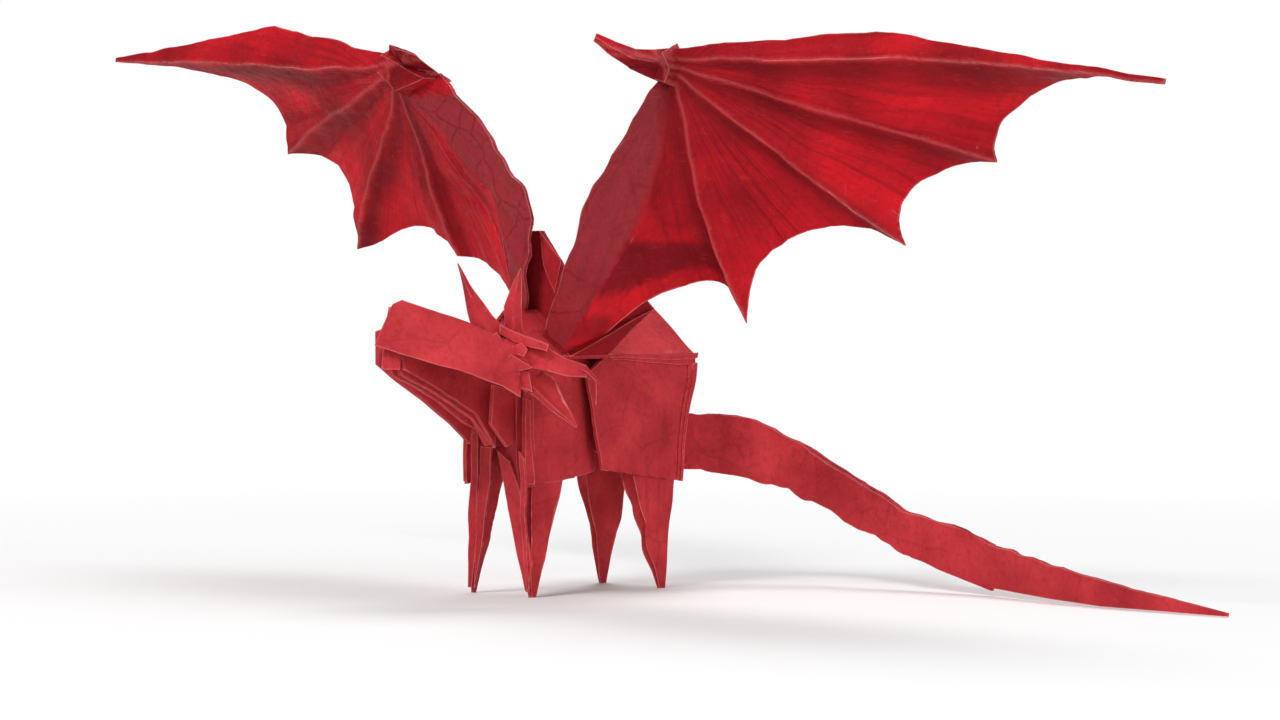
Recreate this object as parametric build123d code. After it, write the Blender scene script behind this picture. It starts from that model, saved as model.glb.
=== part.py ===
from build123d import *
import os
from math import cos, radians, sin

# A dragon folded from one square of paper, standing on its four pointed feet.
# X points to its left, Y to its back and Z up. It is modelled about the middle of its four feet,
# and the finished figure is set on the floor with the origin below the middle of its box.
# Sizes are in millimetres. A name that ends in share or shares holds parts of the sizes it follows.

# The paper: one ply, the many plies of a body panel, and those of the spine
PLY_THICKNESS = 0.5
PANEL_THICKNESS = 0.9
SPINE_THICKNESS = 1.4
HEM_THICKNESS = 0.3

# Body: a box of flank panels under a gable roof
BODY_LENGTH = 48.0
BODY_WIDTH = 19.6
CHEST_SETBACK = 20.5
BELLY_HEIGHT = 24.0
FLANK_HEIGHT = 27.0
ROOF_RISE = 9.6

# Legs: folded spikes on small flat feet
STANCE_LENGTH = 38.0
STANCE_WIDTH = 19.0
FOOT_SIZE = 1.1

# Wings: reach of one wing from the middle, depth from arm to trailing points, rise above the shoulder
WING_REACH = 167.0
WING_SWEEP = 25.0
WING_RISE = 62.0
WING_SETBACK = 10.0
SHOULDER_LIFT = 4.0
BILLOW = 0.8
ARM_THICKNESS = 1.1
RIB_THICKNESS = 0.5
CLAW_TIP = 1.8
CLAW_SAG = 1.5
THUMB_SIZE = 5.2
THUMB_ARCH = 1.0

# Neck: forward and up from the chest, then folded back over itself and turned to the left
NECK_REACH = 30.0
NECK_DROP = 25.0
NECK_WIDTH = 10.0
NECK_CREST = 58.0
NECK_TURN = 43.0
COLLAR_LENGTH = 25.0
COLLAR_HEIGHT = 10.0
COLLAR_WIDTH = 10.0

# Head: from the back of the crest to the nose
HEAD_LENGTH = 20.0
HEAD_HEIGHT = 20.0
HEAD_WIDTH = 10.0

# Tail: a strip folded in two along its lower edge, swung round to the left
TAIL_SWING = 142.0
TAIL_SETBACK = 28.0
TAIL_TOP = 38.0
TAIL_WIDTH = 2.2

# Directions and places that follow from the sizes
LEFT = 1
RIGHT = -1
SHOULDER_HEIGHT = BELLY_HEIGHT + FLANK_HEIGHT + SHOULDER_LIFT
CHEST_Y = -CHEST_SETBACK
RUMP_Y = CHEST_Y + BODY_LENGTH
HALF_WIDTH = BODY_WIDTH / 2
RIDGE_SHARE = 1.0 + ROOF_RISE / FLANK_HEIGHT
TURNED_ALONG = Vector(sin(radians(NECK_TURN)), cos(radians(NECK_TURN)), 0)
TURNED_SIDE = Vector(cos(radians(NECK_TURN)), -sin(radians(NECK_TURN)), 0)
UP = Vector(0, 0, 1)
NECK_ASIDE_SHARE = -0.15
HEAD_ASIDE_SHARE = -0.2
NECK_FRONT = Vector(NECK_WIDTH * NECK_ASIDE_SHARE, CHEST_Y - NECK_REACH, NECK_CREST)
HEAD_BACK = NECK_FRONT + TURNED_ALONG * COLLAR_LENGTH + TURNED_SIDE * (COLLAR_WIDTH * HEAD_ASIDE_SHARE)


def between(start, end, share):
    return start + (end - start) * share


def body_point(side, shares):
    across, back, up = shares
    return Vector(
        side * across * HALF_WIDTH,
        CHEST_Y + back * BODY_LENGTH,
        BELLY_HEIGHT + up * FLANK_HEIGHT,
    )


def wing_point(side, shares):
    out, back, up = shares
    return Vector(
        side * out * WING_REACH,
        back * WING_SWEEP - WING_SETBACK,
        SHOULDER_HEIGHT + up * WING_RISE,
    )


def collar_point(along_share, side_share, up_share):
    along = TURNED_ALONG * (along_share * COLLAR_LENGTH)
    aside = TURNED_SIDE * (side_share * COLLAR_WIDTH)
    return NECK_FRONT + along + aside + UP * (up_share * COLLAR_HEIGHT)


def head_point(along_share, side_share, up_share):
    along = TURNED_ALONG * (along_share * HEAD_LENGTH)
    aside = TURNED_SIDE * (side_share * HEAD_WIDTH)
    return HEAD_BACK + along + aside + UP * (up_share * HEAD_HEIGHT)


# Thin folded sheets: rows of control points with a panel between each pair of fold lines


def sheet_normal(rows, row, column):
    """The sheet's normal at a control point. The ends of a row face as the point next to them does."""
    last_row = len(rows) - 1
    last_column = len(rows[0]) - 1
    inner = max(min(column, last_column - 1), min(1, last_column - 1))
    along = rows[row][inner + 1] - rows[row][max(inner - 1, 0)]
    across = rows[min(row + 1, last_row)][inner] - rows[max(row - 1, 0)][inner]
    return along.cross(across).normalized()


def thickened(rows, depths):
    moved = []
    for row, depth in enumerate(depths):
        moved.append([
            rows[row][column] + sheet_normal(rows, row, column) * depth
            for column in range(len(rows[row]))
        ])
    return moved


def folded_sheet(rows, folds, stops, fronts, backs):
    """A closed sheet whose panels share the fold rows, thickened to the front and to the back."""
    front = thickened(rows, fronts)
    back = thickened(rows, [-depth for depth in backs])
    faces = []
    spans = list(zip(stops, stops[1:]))
    for first, last in zip(folds, folds[1:]):
        for start, stop in spans:
            for skin in (front, back):
                net = [row[start:stop + 1] for row in skin[first:last + 1]]
                faces.append(Face.make_bezier_surface(net))
        for column in (stops[0], stops[-1]):
            front_edge = [row[column] for row in front[first:last + 1]]
            back_edge = [row[column] for row in back[first:last + 1]]
            faces.append(Face.make_bezier_surface([front_edge, back_edge]))
    for row in (folds[0], folds[-1]):
        for start, stop in spans:
            net = [front[row][start:stop + 1], back[row][start:stop + 1]]
            faces.append(Face.make_bezier_surface(net))
    return Solid(Shell(faces))


def flat_panels(lines, ply):
    """Flat panels joined at straight fold lines, each line given by its two ends."""
    folds = list(range(len(lines)))
    half = [ply / 2] * len(lines)
    return folded_sheet(lines, folds, [0, 1], half, half)


def end_caps(section):
    """The faces that close an end: one flat face, or two where four corners aren't in one plane."""
    if len(section) == 4:
        first, second, third, fourth = section
        halves = ([first, second, third], [first, third, fourth])
        return [Face(Wire.make_polygon(half, close=True)) for half in halves]
    return [Face(Wire.make_polygon(section, close=True))]


def ruled(sections):
    """A folded spike or strip through closed sections, with two flat facets from each edge to the next."""
    faces = end_caps(sections[0]) + end_caps(sections[-1])
    for section, next_section in zip(sections, sections[1:]):
        for index in range(len(section)):
            start, end = section[index - 1], section[index]
            next_start, next_end = next_section[index - 1], next_section[index]
            for facet in ([start, end, next_end], [start, next_end, next_start]):
                faces.append(Face(Wire.make_polygon(facet, close=True)))
    return Solid(Shell(faces))


# Wings: fold lines fan out from the wrist, with scalloped skin between them

LEFT_RIB_SHARES = {
    "arm": [
        (0.236, -0.01, 0.88), (0.183, -0.04, 0.70), (0.135, -0.07, 0.53), (0.088, -0.10, 0.30),
    ],
    "hem": [
        (0.252, 0.0, 0.865), (0.234, 0.09, 0.67), (0.203, 0.10, 0.46), (0.145, 0.06, 0.235),
    ],
    "inner": [
        (0.262, 0.0, 0.875), (0.262, 0.215, 0.69), (0.254, 0.43, 0.49),
        (0.254, 0.645, 0.275), (0.28, 0.86, 0.05),
    ],
    "middle": [
        (0.269, 0.0, 0.90), (0.325, 0.25, 0.755), (0.388, 0.50, 0.625),
        (0.452, 0.75, 0.47), (0.526, 1.0, 0.31),
    ],
    "outer": [
        (0.271, 0.0, 0.925), (0.38, 0.245, 0.825), (0.485, 0.49, 0.753),
        (0.586, 0.735, 0.667), (0.68, 0.98, 0.58),
    ],
    "finger": [
        (0.268, 0.0, 0.95), (0.45, 0.115, 0.917), (0.612, 0.23, 0.913),
        (0.803, 0.345, 0.866), (1.0, 0.46, 0.80),
    ],
    "edge": [
        (0.255, 0.0, 0.983), (0.417, 0.115, 0.986), (0.587, 0.23, 1.0),
        (0.792, 0.345, 0.905), (1.0, 0.46, 0.815),
    ],
}
RIGHT_RIB_SHARES = {
    "arm": [
        (0.183, -0.01, 0.93), (0.086, -0.04, 0.73), (0.016, -0.08, 0.55), (-0.016, -0.11, 0.35),
    ],
    "hem": [
        (0.262, 0.0, 0.895), (0.182, 0.0, 0.72), (0.106, 0.0, 0.535), (0.054, 0.0, 0.34),
    ],
    "inner": [
        (0.275, 0.0, 0.905), (0.279, 0.215, 0.76), (0.282, 0.43, 0.60),
        (0.284, 0.645, 0.44), (0.285, 0.86, 0.284),
    ],
    "middle": [
        (0.285, 0.0, 0.925), (0.329, 0.25, 0.777), (0.40, 0.50, 0.633),
        (0.471, 0.75, 0.477), (0.527, 1.0, 0.309),
    ],
    "outer": [
        (0.290, 0.0, 0.948), (0.381, 0.245, 0.884), (0.48, 0.49, 0.828),
        (0.579, 0.735, 0.766), (0.68, 0.98, 0.684),
    ],
    "finger": [
        (0.293, 0.0, 0.975), (0.453, 0.115, 0.981), (0.621, 0.23, 1.018),
        (0.811, 0.345, 1.045), (1.0, 0.46, 1.065),
    ],
    "edge": [
        (0.296, 0.0, 1.018), (0.427, 0.115, 1.078), (0.582, 0.23, 1.157),
        (0.771, 0.345, 1.12), (1.0, 0.46, 1.08),
    ],
}

# Pull points of each scallop, from one rib's tip to the next
LEFT_RIM_SHARES = {
    "middle": [(0.261, 0.76, 0.40), (0.423, 0.88, 0.455)],
    "outer": [(0.482, 0.88, 0.535), (0.60, 0.92, 0.603)],
    "finger": [(0.663, 0.76, 0.796), (0.845, 0.56, 0.887)],
}
RIGHT_RIM_SHARES = {
    "middle": [(0.354, 0.76, 0.477), (0.44, 0.88, 0.38)],
    "outer": [(0.518, 0.88, 0.54), (0.581, 0.92, 0.733)],
    "finger": [(0.658, 0.76, 0.975), (0.827, 0.56, 1.04)],
}

# Where the arm's two edges and the inner skin meet the roof, as shares of the body
ARM_ROOT_SHARES = {LEFT: (0.30, 0.17, 0.98), RIGHT: (0.26, 0.16, 0.98)}
HEM_ROOT_SHARES = {LEFT: (0.62, 0.20, 0.90), RIGHT: (0.62, 0.22, 0.90)}
SKIN_ROOT_SHARES = (0.60, 0.40, 0.90)
LEFT_GUSSET_SHARES = (0.205, 0.45, 0.46)
RIGHT_GUSSET_SHARES = (0.17, 0.66, 0.30)


def bent_row(points):
    """A fold line in two bends, through its start, quarter, middle, quarter and end points."""
    start, first, middle, second, end = points
    pull_in = first * 2 - (start + middle) / 2
    pull_out = second * 2 - (middle + end) / 2
    return [start, pull_in, middle, pull_out, end]


def skin_rows(rib, next_rib, rim_pulls, billow):
    """Control rows of the skin between two fold lines, blown back most in the middle."""
    rows = []
    steps = len(rim_pulls) + 1
    last = len(rib) - 1
    for step, rim_pull in enumerate(rim_pulls, start=1):
        across = step / steps
        rim_line = between(rib[last], next_rib[last], across)
        row = []
        for column in range(last + 1):
            out = (column / last) ** 3
            point = between(rib[column], next_rib[column], across) + (rim_pull - rim_line) * out
            fullness = 4 * across * (1 - across) * out
            row.append(point + Vector(0, billow * fullness, 0))
        rows.append(row)
    return rows


def wing(side, rib_shares, rim_shares, gusset_shares):
    ribs = {}
    for name, shares in rib_shares.items():
        ribs[name] = [wing_point(side, share) for share in shares]
    ribs["arm"].append(body_point(side, ARM_ROOT_SHARES[side]))
    ribs["hem"].append(body_point(side, HEM_ROOT_SHARES[side]))
    ribs = {name: bent_row(points) for name, points in ribs.items()}

    # The arm is a band of many plies, and the skin from its hem on is a single ply
    rows = [ribs["arm"], ribs["hem"]]
    folds = [0, 1]
    fronts = [ARM_THICKNESS / 2, ARM_THICKNESS / 2]

    gusset = [body_point(side, SKIN_ROOT_SHARES), wing_point(side, gusset_shares)]
    last_rib = ribs["hem"]
    panels = [("inner", gusset)]
    for name in ("middle", "outer", "finger"):
        panels.append((name, [wing_point(side, share) for share in rim_shares[name]]))
    for name, rim_pulls in panels:
        rows += skin_rows(last_rib, ribs[name], rim_pulls, BILLOW)
        rows.append(ribs[name])
        fronts += [PLY_THICKNESS / 2] * len(rim_pulls) + [RIB_THICKNESS / 2]
        folds.append(len(rows) - 1)
        last_rib = ribs[name]
    rows.append(ribs["edge"])
    fronts.append(RIB_THICKNESS / 2)
    folds.append(len(rows) - 1)
    backs = [PLY_THICKNESS / 2] * len(rows)
    if side == RIGHT:
        fronts, backs = backs, fronts
    return folded_sheet(rows, folds, [0, 2, 4], fronts, backs)


# The knot at the wrist covers the starts of the fold lines, and the claw grows out of it
LEFT_KNOT_SHARES = [(0.236, 0.868), (0.262, 0.855), (0.276, 0.92), (0.258, 1.0)]
RIGHT_KNOT_SHARES = [(0.172, 0.905), (0.255, 0.855), (0.310, 0.955), (0.300, 1.04)]
KNOT_DEPTH_SHARES = (0.06, -0.12)
KNOT_TAPER_SHARE = 0.7
LEFT_CLAW_SHARES = [(0.256, 0.02, 0.985), (0.262, -0.09, 0.93), (0.240, -0.02, 0.87), (0.244, 0.06, 0.93)]
RIGHT_CLAW_SHARES = [(0.298, 0.02, 1.02), (0.245, -0.07, 0.96), (0.185, -0.02, 0.93), (0.245, 0.05, 0.985)]
LEFT_CLAW_TIP_SHARES = (0.193, -0.40, 1.02)
RIGHT_CLAW_TIP_SHARES = (0.235, -0.20, 1.02)


def wrist_knot(side, outline_shares):
    back_share, front_share = KNOT_DEPTH_SHARES
    back = [wing_point(side, (out, back_share, up)) for out, up in outline_shares]
    front = [wing_point(side, (out, front_share, up)) for out, up in outline_shares]
    centre = sum(front, Vector(0, 0, 0)) / len(front)
    front = [between(centre, point, KNOT_TAPER_SHARE) for point in front]
    return ruled([back, front])


def wrist_claw(side, base_shares, tip_share, tip_size, arch):
    """The spike at the wrist: its base spans the starts of the fold lines and it bends to its tip."""
    base = [wing_point(side, share) for share in base_shares]
    centre = sum(base, Vector(0, 0, 0)) / len(base)
    tip = wing_point(side, tip_share)
    spread = (base[0] - base[2]).length
    end = [tip + (point - centre) * (tip_size / spread) for point in base]
    middle = [(near + far) / 2 + UP * arch for near, far in zip(base, end)]
    return ruled([base, middle, end])


# Body panels


def flat_panel(points, direction):
    """A flat panel of straight edges, as thick as the direction is long."""
    return Solid.extrude(Face(Wire.make_polygon(points, close=True)), direction)


HIND_FLANK_SHARES = [(0.48, 1.025), (1.0, 1.0), (0.92, -0.015), (0.44, 0.09), (0.35, 0.86)]
FRONT_FLANK_SHARES = [
    ((0.97, 0.015, 0.0), (0.97, 0.0, 1.025)),
    ((0.93, 0.27, 0.035), (0.93, 0.25, 1.025)),
    ((0.50, 0.47, 0.08), (0.50, 0.45, 1.3)),
]
SPINE_SHARES = [
    (-0.30, 0.95), (0.0, 1.05), (0.04, RIDGE_SHARE), (0.95, RIDGE_SHARE),
    (0.98, 0.60), (1.04, 0.06), (0.5, 0.25), (-0.06, 0.3),
]
CHEST_SHARES = [(0.80, 0.98), (0.80, 0.16), (0.30, 0.30), (0.0, 0.10)]
RUMP_SHARES = [(0.93, 0.98), (0.93, 0.10), (0.30, 0.02), (0.0, 0.10)]
CHEST_BACK_SHARE = 0.04
RUMP_BACK_SHARE = 0.90
ROOF_FRONT_SHARE = 0.03
ROOF_LINE_SHARES = [(1.03, 0.995, 1.0), (0.0, 0.965, RIDGE_SHARE), (-1.03, 0.995, 1.0)]


# Hems and pleats that lie on the flanks, as outlines along and up the body and the plies they stand out by
SEAT_SHARE = 0.05
HEM_SHARES = {
    "lower eaves": ([(0.475, 1.0), (1.010, 0.985), (1.004, 0.915), (0.50, 0.975)], 1),
    "upper eaves": ([(0.47, 1.022), (1.018, 1.003), (1.014, 0.958), (0.485, 0.99)], 2),
    "rear pleat": ([(0.968, 0.93), (1.008, 0.93), (0.93, -0.012), (0.908, -0.008)], 1),
    "rear edge": ([(0.988, 0.92), (1.014, 0.92), (0.935, -0.02), (0.924, -0.018)], 2),
    "chest pleat": ([(-0.014, -0.02), (0.042, -0.01), (0.034, 0.70), (-0.012, 0.74)], 1),
    "chest edge": ([(-0.018, 0.0), (0.018, 0.005), (0.014, 0.66), (-0.016, 0.68)], 2),
}


def flank_hem(side, outline_shares, plies):
    points = [body_point(side, (1.0 - SEAT_SHARE, back, up)) for back, up in outline_shares]
    lift = SEAT_SHARE * HALF_WIDTH + plies * HEM_THICKNESS
    return flat_panel(points, Vector(side * lift, 0, 0))


def hind_flank(side):
    points = [body_point(side, (1.0, back, up)) for back, up in HIND_FLANK_SHARES]
    return flat_panel(points, Vector(-side * PANEL_THICKNESS, 0, 0))


def front_flank(side):
    lines = [[body_point(side, low), body_point(side, high)] for low, high in FRONT_FLANK_SHARES]
    return flat_panels(lines, PANEL_THICKNESS)


def roof():
    lines = []
    for across, back, up in ROOF_LINE_SHARES:
        front_end = body_point(LEFT, (across, ROOF_FRONT_SHARE, up))
        lines.append([front_end, body_point(LEFT, (across, back, up))])
    return flat_panels(lines, PANEL_THICKNESS)


def spine():
    points = [body_point(LEFT, (-SPINE_THICKNESS / BODY_WIDTH, back, up)) for back, up in SPINE_SHARES]
    return flat_panel(points, Vector(SPINE_THICKNESS, 0, 0))


def cross_panel(half_shares, back):
    right_half = [(-across, up) for across, up in reversed(half_shares) if across]
    points = [body_point(LEFT, (across, back, up)) for across, up in half_shares + right_half]
    return flat_panel(points, Vector(0, PANEL_THICKNESS, 0))


# Legs: the section at the hip shrinks to the foot

FRONT_CHEST_SHARES = [(0.94, 0.09), (0.95, 0.0), (0.87, 0.015), (0.83, -0.025), (0.72, -0.005), (0.74, 0.08)]
FRONT_HIP_SHARES = [(0.95, 0.23), (0.96, 0.015), (0.85, 0.04), (0.73, -0.012), (0.32, 0.0), (0.50, 0.14)]
HIND_HIP_SHARES = [
    (0.95, 0.61), (0.97, 0.915), (0.72, 0.93), (0.66, 0.87), (0.43, 0.89), (0.52, 0.59), (0.74, 0.64),
]
CHEST_PLEAT_SHARE = 0.85
FRONT_HIP_SHARE = 0.17
HIND_HIP_SHARE = 0.24


def foot_section(hip, foot):
    centre = sum(hip, Vector(0, 0, 0)) / len(hip)
    reach = max((point - centre).length for point in hip)
    return [foot + (point - centre) * (FOOT_SIZE / reach) for point in hip]


def front_leg(side):
    chest = [body_point(side, (across, back, CHEST_PLEAT_SHARE)) for across, back in FRONT_CHEST_SHARES]
    hip = [body_point(side, (across, back, FRONT_HIP_SHARE)) for across, back in FRONT_HIP_SHARES]
    foot = foot_section(hip, Vector(side * STANCE_WIDTH / 2, -STANCE_LENGTH / 2, 0))
    return ruled([chest, hip, foot])


def hind_leg(side):
    hip = [body_point(side, (across, back, HIND_HIP_SHARE)) for across, back in HIND_HIP_SHARES]
    foot = foot_section(hip, Vector(side * STANCE_WIDTH / 2, STANCE_LENGTH / 2, 0))
    return ruled([hip, foot])


# Tail: stations from the rump to the tip, as shares of swing, setback, top and bottom height, and width

TAIL_BASE_SHARES = [
    (0.0, -0.20, 1.0, 0.66, 1.0),
    (0.0, 0.34, 0.98, 0.645, 1.0),
    (0.022, 0.52, 0.98, 0.62, 1.0),
    (0.06, 0.67, 0.95, 0.605, 1.0),
    (0.091, 0.79, 0.895, 0.575, 1.0),
    (0.133, 0.91, 0.80, 0.505, 1.0),
    (0.236, 0.945, 0.615, 0.353, 1.0),
    (0.337, 0.975, 0.47, 0.21, 1.0),
    (0.437, 0.995, 0.373, 0.105, 0.95),
    (0.52, 1.0, 0.285, 0.03, 0.9),
]
TAIL_TIP_SHARES = [
    (0.46, 0.998, 0.315, 0.085, 0.6),
    (0.53, 0.985, 0.28, 0.045, 0.6),
    (0.66, 0.86, 0.21, 0.022, 0.55),
    (0.768, 0.80, 0.15, 0.008, 0.5),
    (0.88, 0.795, 0.09, 0.008, 0.4),
    (1.0, 0.81, 0.025, 0.006, 0.2),
]
TAIL_GROOVE_SHARE = 0.3
TAIL_LIP_SHARE = 0.35
TAIL_KEEL_SHARE = 0.5


def tail_strip(stations):
    path = [
        Vector(swing * TAIL_SWING, RUMP_Y + back * TAIL_SETBACK, 0)
        for swing, back, top, bottom, width in stations
    ]
    sections = []
    for index, (swing, back, top, bottom, width) in enumerate(stations):
        ahead = path[min(index + 1, len(path) - 1)] - path[max(index - 1, 0)]
        across = ahead.cross(UP).normalized() * (width * TAIL_WIDTH / 2)
        high = path[index] + UP * (top * TAIL_TOP)
        low = path[index] + UP * (bottom * TAIL_TOP)
        groove = between(high, low, TAIL_GROOVE_SHARE)
        lip = across * TAIL_LIP_SHARE
        keel = across * TAIL_KEEL_SHARE
        sections.append([
            high - across, high - lip, groove, high + lip, high + across, low + keel, low - keel,
        ])
    return ruled(sections)


# Neck: stations from the fold at the front to the chest, each with its ridge and four hanging pleats

NECK_STATION_SHARES = [
    ((1.02, 0.02), (0.94, 0.36), (1.0, 1.15, 1.15, 0.90)),
    ((0.65, 0.08), (0.53, 0.61), (1.0, 1.06, 1.06, 1.09)),
    ((0.35, 0.12), (0.27, 0.76), (1.0, 1.07, 1.12, 1.16)),
    ((0.06, 0.16), (0.10, 1.05), (1.0, 0.97, 0.84, 0.97)),
]
PLEAT_EDGE_SHARES = [(0.32, 0.22), (0.16, 0.06), (-0.15, -0.25), (-0.54, -0.64)]
GROOVE_SHARES = [0.19, 0.01, -0.34]
GROOVE_DEPTH_SHARE = 0.5
NECK_RIDGE_SHARES = (-0.05, 0.0)
NEAR_SHOULDER_SHARES = (0.30, 0.1)
FAR_SHOULDER_SHARES = (-0.40, 0.1)


def neck_point(across, reach, drop):
    return Vector(across * NECK_WIDTH, CHEST_Y - reach * NECK_REACH, NECK_CREST - drop * NECK_DROP)


def pleat_outline(length_shares):
    """The neck's section, across and down from its ridge: down and up again along each pleat."""
    outline = [NECK_RIDGE_SHARES, NEAR_SHOULDER_SHARES]
    for index, length in enumerate(length_shares):
        outer, inner = PLEAT_EDGE_SHARES[index]
        outline += [(outer, length), (inner, length)]
        if index < len(GROOVE_SHARES):
            outline.append((GROOVE_SHARES[index], GROOVE_DEPTH_SHARE))
    return outline + [FAR_SHOULDER_SHARES]


def lower_neck():
    sections = []
    for ridge_shares, hem_shares, length_shares in NECK_STATION_SHARES:
        ridge = neck_point(0, *ridge_shares)
        slant = neck_point(0, *hem_shares) - ridge
        section = []
        for across, down in pleat_outline(length_shares):
            section.append(ridge + Vector(across * NECK_WIDTH, 0, 0) + slant * down)
        sections.append(section)
    return ruled(sections)


# Collar: the upper neck, a folded strip astride the lower one, as shares of place, ridge and hem height
COLLAR_STATION_SHARES = [
    (-0.07, 0.08, 0.44, -0.40),
    (0.10, 0.16, 0.53, -0.53),
    (0.70, 0.70, 0.07, -0.98),
    (1.0, 1.0, -0.24, -1.28),
    (1.14, 1.14, -0.60, -1.50),
]
COLLAR_SPREAD_SHARE = 0.45


def collar():
    sections = []
    for hem_along, ridge_along, ridge_up, hem_up in COLLAR_STATION_SHARES:
        inner_spread = COLLAR_SPREAD_SHARE - PANEL_THICKNESS / COLLAR_WIDTH
        ridge = collar_point(ridge_along, 0, ridge_up)
        hem = collar_point(hem_along, 0, hem_up)
        ridge_half = TURNED_SIDE * (PANEL_THICKNESS / 2)
        hem_outer = TURNED_SIDE * (COLLAR_SPREAD_SHARE * COLLAR_WIDTH)
        hem_inner = TURNED_SIDE * (inner_spread * COLLAR_WIDTH)
        ridge_inner = between(ridge, hem, 2 * PANEL_THICKNESS / COLLAR_HEIGHT)
        sections.append([
            ridge + ridge_half, hem + hem_outer, hem + hem_inner, ridge_inner,
            hem - hem_inner, hem - hem_outer, ridge - ridge_half,
        ])
    return ruled(sections)


# A tongue of paper that hangs out between the neck and the left flank
TONGUE_SHARES = [(0.22, -0.02), (0.02, 0.10), (0.0, 0.86), (0.10, 1.0), (0.24, 0.62)]
TONGUE_ACROSS_SHARE = 0.60
TONGUE_DROP_SHARE = 0.52


def neck_tongue():
    points = []
    for reach, hang in TONGUE_SHARES:
        points.append(neck_point(TONGUE_ACROSS_SHARE, reach, TONGUE_DROP_SHARE + hang * TONGUE_DROP_SHARE))
    return flat_panel(points, Vector(PANEL_THICKNESS, 0, 0))


CRIMP_SHARES = [
    (-0.016, 0.36), (0.048, 0.26), (-0.008, 0.16), (0.056, 0.06), (0.0, -0.06),
    (0.06, -0.16), (0.012, -0.30), (0.14, -0.30), (0.14, 0.36),
]
CRIMP_LOW_SHARE = -0.9
CRIMP_HIGH_SHARE = 0.38
CRIMP_LEAN_SHARE = 0.06
CRIMP_GATHER_SHARE = 0.22


def neck_crimp():
    """The pleats that close the front of the collar and hang down to the lower neck."""
    low = []
    high = []
    for along, aside in CRIMP_SHARES:
        low.append(collar_point(along, aside, CRIMP_LOW_SHARE))
        high.append(collar_point(along + CRIMP_LEAN_SHARE, aside * CRIMP_GATHER_SHARE, CRIMP_HIGH_SHARE))
    return ruled([low, high])


# Head: beak, cheeks, lower jaw and two horns

BEAK_SHARES = [
    (-0.07, 0.0, -0.40, 0.34),
    (0.43, -0.22, -0.47, 0.26),
    (0.65, -0.345, -0.525, 0.21),
    (0.875, -0.42, -0.55, 0.15),
]
LIP_SHARE = 0.6
HOOK_SHARES = [
    ((0.78, -0.40), (0.80, -0.52), 0.10),
    ((0.88, -0.425), (0.885, -0.56), 0.13),
    ((1.005, -0.575), (0.95, -0.60), 0.09),
    ((0.97, -0.84), (0.955, -0.835), 0.03),
]
CHEEK_SHARES = [(-0.25, -0.19), (0.0, 0.0), (0.25, -0.15), (0.40, -0.45), (0.24, -0.71), (-0.05, -0.57)]
CHEEK_CENTRE_SHARES = (0.10, -0.35)
CHEEK_LAYER_SHARES = [(-0.36, 0.45), (-0.05, 1.0), (0.38, 0.5)]
NEAR_HORN_SHARES = [
    ((-0.15, -0.40), (0.15, -0.25), 0.15),
    ((-0.26, -0.21), (0.03, -0.03), 0.15),
    ((-0.365, 0.11), (-0.10, 0.10), 0.12),
    ((-0.43, 0.43), (-0.35, 0.44), 0.07),
    ((-0.49, 0.66), (-0.475, 0.66), 0.025),
]
FAR_HORN_SHARES = [
    ((0.05, -0.35), (0.20, -0.35), 0.14),
    ((0.02, -0.05), (0.19, -0.07), 0.14),
    ((0.01, 0.20), (0.195, 0.22), 0.10),
    ((0.11, 0.47), (0.195, 0.48), 0.06),
    ((0.18, 0.61), (0.19, 0.61), 0.025),
]
HORN_OFFSET_SHARES = {"near": 0.05, "far": -0.17}
JAW_SHARES = [
    ((0.13, -0.58, 0.0), (0.30, -0.40, -0.14), (0.20, -0.48, 0.0), (0.15, -0.53, 0.12)),
    ((0.28, -0.73, 0.03), (0.52, -0.56, -0.16), (0.36, -0.64, 0.0), (0.30, -0.66, 0.15)),
    ((0.535, -0.93, 0.02), (0.62, -0.78, -0.11), (0.57, -0.86, 0.0), (0.55, -0.885, 0.10)),
    ((0.755, -1.085, 0.0), (0.77, -1.06, -0.03), (0.765, -1.065, 0.0), (0.76, -1.07, 0.03)),
]


# Small folds on both sides of the head, as outlines along and up it and how far out each one lies
PLATE_SEAT_SHARE = 0.05
PLATE_SHARES = {
    "cheek flap": ([(-0.13, -0.53), (0.08, -0.29), (0.31, -0.44), (0.12, -0.49)], 0.46),
    "cheek fold": ([(0.07, -0.50), (0.26, -0.47), (0.30, -0.71), (0.14, -0.65)], 0.38),
    "brow": ([(-0.03, 0.02), (0.47, -0.20), (0.45, -0.27), (0.20, -0.20), (-0.04, -0.08)], 0.27),
    "eye": ([(0.13, -0.19), (0.20, -0.16), (0.25, -0.24), (0.21, -0.32), (0.14, -0.29)], 0.43),
    "temple": ([(-0.24, -0.20), (-0.06, -0.06), (0.06, -0.26), (-0.12, -0.44)], 0.33),
}


def head_plate(side, outline_shares, out_share):
    points = [head_point(along, side * PLATE_SEAT_SHARE, up) for along, up in outline_shares]
    return flat_panel(points, TURNED_SIDE * (side * (out_share - PLATE_SEAT_SHARE) * HEAD_WIDTH))


def beak():
    sections = []
    for along, ridge_up, lip_up, spread in BEAK_SHARES:
        sections.append([
            head_point(along, 0.0, ridge_up),
            head_point(along, spread, lip_up),
            head_point(along, spread * LIP_SHARE, lip_up),
            head_point(along, 0.0, (ridge_up + lip_up) / 2),
            head_point(along, -spread * LIP_SHARE, lip_up),
            head_point(along, -spread, lip_up),
        ])
    return ruled(sections)


def spike(stations, offset):
    """A flat folded spike through stations of left edge, right edge and half thickness."""
    sections = []
    for (left_along, left_up), (right_along, right_up), half in stations:
        middle_along = (left_along + right_along) / 2
        middle_up = (left_up + right_up) / 2
        sections.append([
            head_point(left_along, offset, left_up),
            head_point(middle_along, offset + half, middle_up),
            head_point(right_along, offset, right_up),
            head_point(middle_along, offset - half, middle_up),
        ])
    return ruled(sections)


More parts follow.
